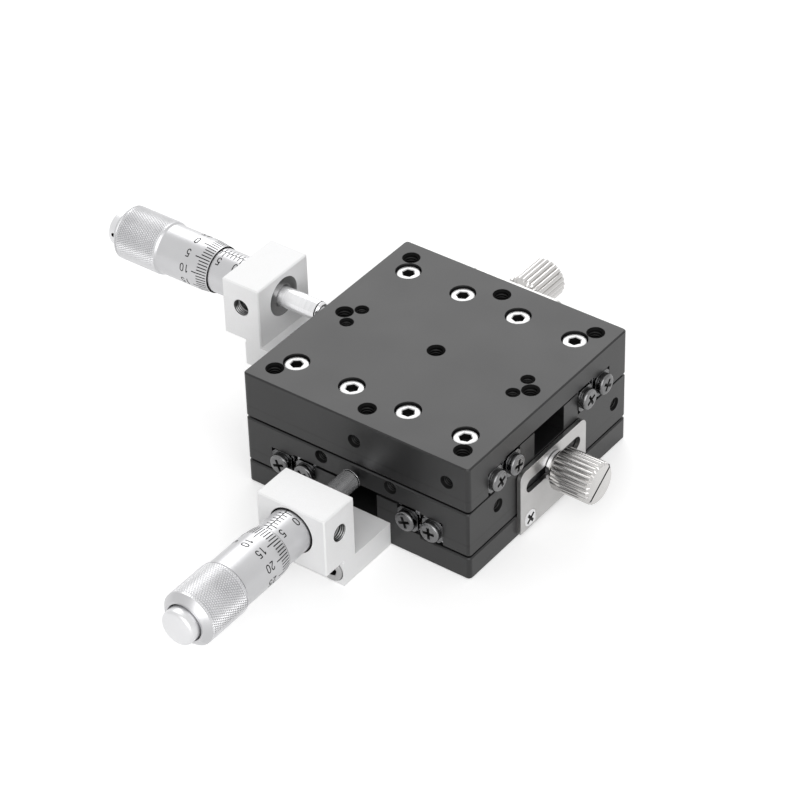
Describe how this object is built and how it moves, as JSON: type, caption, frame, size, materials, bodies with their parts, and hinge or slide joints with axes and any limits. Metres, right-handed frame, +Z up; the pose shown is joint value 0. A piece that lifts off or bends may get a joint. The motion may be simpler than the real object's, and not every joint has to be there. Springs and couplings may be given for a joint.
{
  "type": "micrometer stage",
  "caption": "Compact two-axis crossed-roller stage with a micrometer and a locking knob on each axis and a tapped square table.",
  "frame": {"origin": "centre of the base plate's underside, at the middle of its four mounting holes", "axes": "+Z up; the lower axis travels along Y with its micrometer on -Y; the upper axis travels along X with its micrometer on -X"},
  "size_m": [0.1338, 0.1338, 0.0337],
  "materials": {
    "black_anodised": "satin black anodised, fine bead-blasted grain",
    "stainless_sheet": "brushed stainless sheet",
    "black_steel": "black oxide",
    "zinc_screw": "bright zinc plated",
    "dark_screw": "black oxide",
    "silver_anodised": "pale bead-blasted anodised",
    "rail_steel": "ground hardened steel",
    "bright_steel": "polished steel",
    "cage_brass": "stamped brass",
    "nickel": "nickel plated",
    "satin_chrome": "satin chrome with black graduations"
  },
  "bodies": {
    "base": {"base_cage_stops": "black_steel", "base_plate": "black_anodised", "base_rail_screws": "zinc_screw", "base_stop_screws": "black_steel", "lower_adjusting_nut": "satin_chrome", "lower_bracket": "silver_anodised", "lower_bracket_screws": "dark_screw", "lower_clamp_plate": "stainless_sheet", "lower_clamp_screws": "zinc_screw", "lower_inner_rail_left": "rail_steel", "lower_inner_rail_right": "rail_steel", "lower_return_spring": "bright_steel", "lower_set_screw": "dark_screw", "lower_sleeve": "satin_chrome", "lower_spring_post": "bright_steel"},
    "middle": {"lower_outer_rail_left": "rail_steel", "lower_outer_rail_right": "rail_steel", "lower_spring_hanger": "bright_steel", "middle_cage_stops": "black_steel", "middle_plate": "black_anodised", "middle_rail_screws": "zinc_screw", "middle_stop_screws": "black_steel", "upper_adjusting_nut": "satin_chrome", "upper_bracket": "silver_anodised", "upper_bracket_screws": "dark_screw", "upper_clamp_plate": "stainless_sheet", "upper_clamp_screws": "zinc_screw", "upper_inner_rail_back": "rail_steel", "upper_inner_rail_front": "rail_steel", "upper_return_spring": "bright_steel", "upper_set_screw": "dark_screw", "upper_sleeve": "satin_chrome", "upper_spring_post": "bright_steel"},
    "table": {"table_cage_stops": "black_steel", "table_plate": "black_anodised", "table_rail_screws": "zinc_screw", "table_stop_screws": "black_steel", "upper_outer_rail_back": "rail_steel", "upper_outer_rail_front": "rail_steel", "upper_spring_hanger": "bright_steel"},
    "lower_cages": {"lower_cage_left": "cage_brass", "lower_cage_right": "cage_brass", "lower_rollers": "bright_steel"},
    "upper_cages": {"upper_cage_back": "cage_brass", "upper_cage_front": "cage_brass", "upper_rollers": "bright_steel"},
    "lower_tip": {"lower_tip_ball": "bright_steel"},
    "upper_tip": {"upper_tip_ball": "bright_steel"},
    "lower_screw": {"lower_end_cap": "satin_chrome", "lower_spindle": "satin_chrome", "lower_thimble": "satin_chrome"},
    "upper_screw": {"upper_end_cap": "satin_chrome", "upper_spindle": "satin_chrome", "upper_thimble": "satin_chrome"},
    "lower_lock_carrier": {"lower_lock_washer": "nickel"},
    "upper_lock_carrier": {"upper_lock_washer": "nickel"},
    "lower_lock": {"lower_lock_knob": "nickel"},
    "upper_lock": {"upper_lock_knob": "nickel"}
  },
  "joints": [
    {"name": "lower_screw_turn", "type": "hinge", "parent": "lower_tip", "child": "lower_screw", "pos_m": [0, -0.03155, 0.0152], "axis": [0, 1, 0], "range_deg": [-4680, 4680]},
    {"name": "lower_tip_slide", "type": "slide", "parent": "base", "child": "lower_tip", "axis": [0, 1, 0], "range_m": [-0.0065, 0.0065]},
    {"name": "lower_stage_slide", "type": "slide", "parent": "base", "child": "middle", "axis": [0, 1, 0], "range_m": [-0.0065, 0.0065], "deforming": ["lower_return_spring"]},
    {"name": "lower_cage_slide", "type": "slide", "parent": "base", "child": "lower_cages", "axis": [0, 1, 0], "range_m": [-0.00325, 0.00325]},
    {"name": "lower_lock_turn", "type": "hinge", "parent": "lower_lock_carrier", "child": "lower_lock", "pos_m": [0.032, 0, 0.0124], "axis": [1, 0, 0], "range_deg": [0, 720]},
    {"name": "lower_lock_slide", "type": "slide", "parent": "middle", "child": "lower_lock_carrier", "axis": [1, 0, 0], "range_m": [0, 0.001]},
    {"name": "upper_screw_turn", "type": "hinge", "parent": "upper_tip", "child": "upper_screw", "pos_m": [-0.03155, 0, 0.0272], "axis": [1, 0, 0], "range_deg": [-4680, 4680]},
    {"name": "upper_tip_slide", "type": "slide", "parent": "middle", "child": "upper_tip", "axis": [1, 0, 0], "range_m": [-0.0065, 0.0065]},
    {"name": "upper_stage_slide", "type": "slide", "parent": "middle", "child": "table", "axis": [1, 0, 0], "range_m": [-0.0065, 0.0065], "deforming": ["upper_return_spring"]},
    {"name": "upper_cage_slide", "type": "slide", "parent": "middle", "child": "upper_cages", "axis": [1, 0, 0], "range_m": [-0.00325, 0.00325]},
    {"name": "upper_lock_turn", "type": "hinge", "parent": "upper_lock_carrier", "child": "upper_lock", "pos_m": [0, 0.032, 0.0244], "axis": [0, 1, 0], "range_deg": [0, 720]},
    {"name": "upper_lock_slide", "type": "slide", "parent": "table", "child": "upper_lock_carrier", "axis": [0, 1, 0], "range_m": [0, 0.001]}
  ],
  "couplings": [
    {"joint": "lower_tip_slide", "follows": "lower_stage_slide", "ratio": 1},
    {"joint": "lower_cage_slide", "follows": "lower_stage_slide", "ratio": 0.5},
    {"joint": "lower_screw_turn", "follows": "lower_stage_slide", "rad_per_m": 12566},
    {"joint": "lower_lock_turn", "follows": "lower_lock_slide", "rad_per_m": 12566},
    {"joint": "upper_tip_slide", "follows": "upper_stage_slide", "ratio": 1},
    {"joint": "upper_cage_slide", "follows": "upper_stage_slide", "ratio": 0.5},
    {"joint": "upper_screw_turn", "follows": "upper_stage_slide", "rad_per_m": 12566},
    {"joint": "upper_lock_turn", "follows": "upper_lock_slide", "rad_per_m": 12566}
  ]
}
